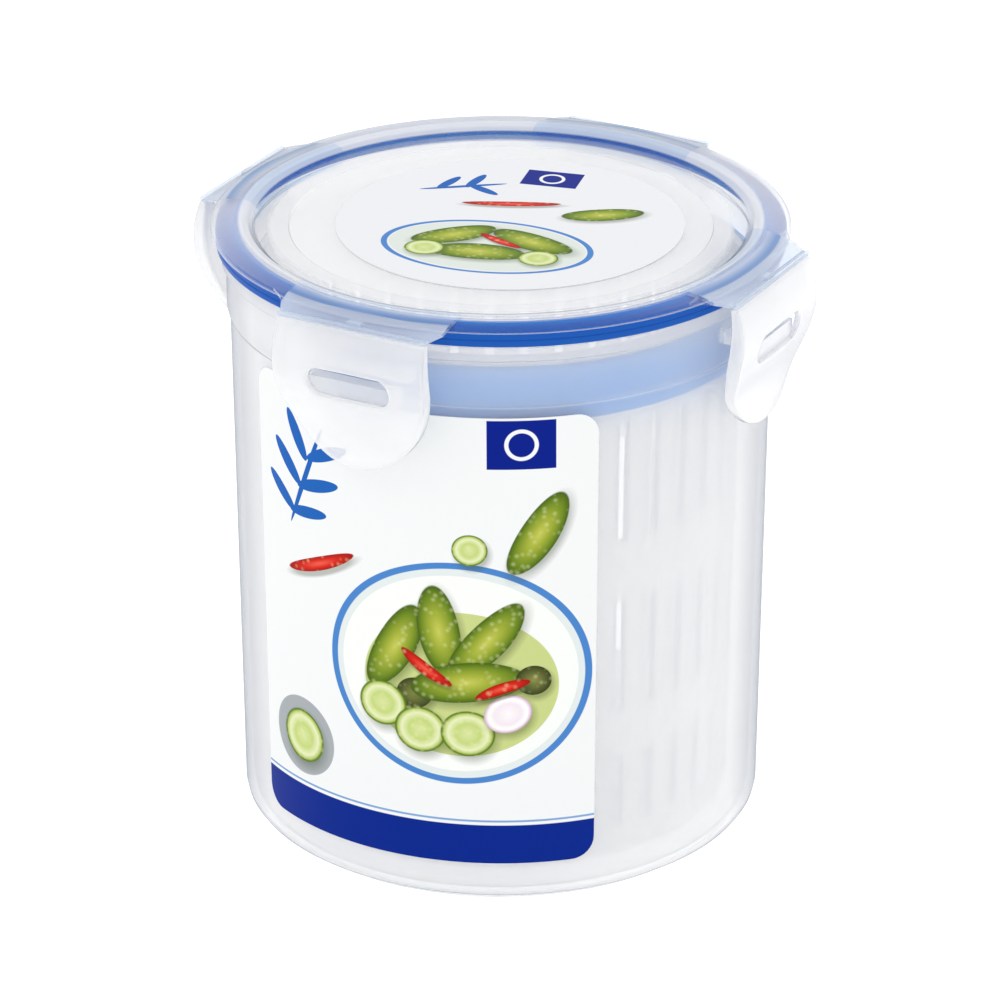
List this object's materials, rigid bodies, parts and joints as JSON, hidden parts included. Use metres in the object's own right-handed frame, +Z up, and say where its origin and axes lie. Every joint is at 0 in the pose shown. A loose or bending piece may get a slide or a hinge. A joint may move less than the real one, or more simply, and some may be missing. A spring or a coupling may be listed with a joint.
{
  "type": "clip-lid food keeper with lift-out strainer",
  "caption": "Round translucent keeper with a gasketed clip lid and a slotted lift-out strainer basket on a fold-down bail handle.",
  "frame": {"origin": "middle of the foot, on the surface it stands on", "axes": "+Z up along the cup's axis, -Y towards the front latch, +X towards the right latch"},
  "size_m": [0.1102, 0.1102, 0.1131],
  "materials": {
    "clear_body": "translucent gloss",
    "clear_lid": "translucent gloss",
    "seal": "satin silicone",
    "frosted_basket": "frosted",
    "blue_handle": "gloss",
    "wrap_label": "satin paper",
    "round_label": "satin paper"
  },
  "bodies": {
    "container": {"container": "clear_body", "body_label": "wrap_label"},
    "lid": {"lid": "clear_lid", "gasket": "seal", "lid_label": "round_label"},
    "latch_front": {"latch_front": "clear_lid"},
    "latch_right": {"latch_right": "clear_lid"},
    "latch_back": {"latch_back": "clear_lid"},
    "latch_left": {"latch_left": "clear_lid"},
    "strainer": {"strainer": "frosted_basket"},
    "handle": {"handle": "blue_handle"}
  },
  "joints": [
    {"name": "lid_lift", "type": "slide", "parent": "container", "child": "lid", "axis": [0, 0, 1], "range_m": [0, 0.2]},
    {"name": "strainer_lift", "type": "slide", "parent": "container", "child": "strainer", "axis": [0, 0, 1], "range_m": [0, 0.11]},
    {"name": "handle_swing", "type": "hinge", "parent": "strainer", "child": "handle", "pos_m": [0, 0, 0.0981], "axis": [-0.0785, -0.9969, 0], "range_deg": [0, 90]},
    {"name": "latch_front_hinge", "type": "hinge", "parent": "lid", "child": "latch_front", "pos_m": [0, -0.053, 0.111], "axis": [-1, 0, 0], "range_deg": [-4.5, 165]},
    {"name": "latch_right_hinge", "type": "hinge", "parent": "lid", "child": "latch_right", "pos_m": [0.053, 0, 0.111], "axis": [0, -1, 0], "range_deg": [-4.5, 165]},
    {"name": "latch_back_hinge", "type": "hinge", "parent": "lid", "child": "latch_back", "pos_m": [0, 0.053, 0.111], "axis": [1, 0, 0], "range_deg": [-4.5, 165]},
    {"name": "latch_left_hinge", "type": "hinge", "parent": "lid", "child": "latch_left", "pos_m": [-0.053, 0, 0.111], "axis": [0, 1, 0], "range_deg": [-4.5, 165]}
  ],
  "couplings": [
    {"joint": "strainer_lift", "follows": "lid_lift", "ratio": 0.55},
    {"joint": "handle_swing", "follows": "lid_lift", "rad_per_m": 7.8539}
  ]
}
